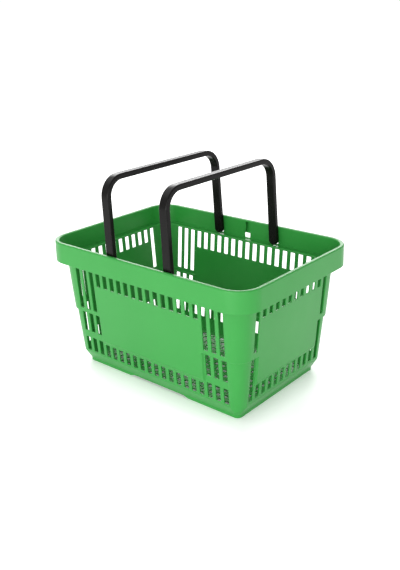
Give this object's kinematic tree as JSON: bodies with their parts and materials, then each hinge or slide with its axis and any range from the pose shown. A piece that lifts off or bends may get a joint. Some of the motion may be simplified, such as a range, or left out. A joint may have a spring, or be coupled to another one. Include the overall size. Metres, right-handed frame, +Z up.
{
  "type": "shopping basket",
  "caption": "Open-topped rectangular hand basket with slotted, tapered walls, a deep turned-over rim and two bow handles that swing up to carry it or fold down into the rim.",
  "frame": {"origin": "middle of the footprint, on the surface that the basket stands on", "axes": "+X along the long side, +Y across the basket, +Z up"},
  "size_m": [0.43, 0.305, 0.3611],
  "materials": {
    "green_moulding": "satin moulded polypropylene, even green",
    "black_handle": "satin moulded polypropylene, black"
  },
  "bodies": {
    "basket": {"floor_grid": "green_moulding", "foot_band": "green_moulding", "panel_front": "green_moulding", "panel_back": "green_moulding", "panel_left": "green_moulding", "panel_right": "green_moulding", "corner_front_left": "green_moulding", "corner_front_right": "green_moulding", "corner_back_left": "green_moulding", "corner_back_right": "green_moulding", "rim_front": "green_moulding", "rim_back": "green_moulding", "rim_left": "green_moulding", "rim_right": "green_moulding", "rim_corner_front_left": "green_moulding", "rim_corner_front_right": "green_moulding", "rim_corner_back_left": "green_moulding", "rim_corner_back_right": "green_moulding"},
    "handle_left": {"handle_left": "black_handle"},
    "handle_right": {"handle_right": "black_handle"}
  },
  "joints": [
    {"name": "handle_left_swing", "type": "hinge", "parent": "basket", "child": "handle_left", "pos_m": [-0.062, 0, 0.217], "axis": [0, 1, 0], "range_deg": [-90.2, 25.4]},
    {"name": "handle_right_swing", "type": "hinge", "parent": "basket", "child": "handle_right", "pos_m": [0.062, 0, 0.217], "axis": [0, 1, 0], "range_deg": [-18.8, 96.8]}
  ]
}
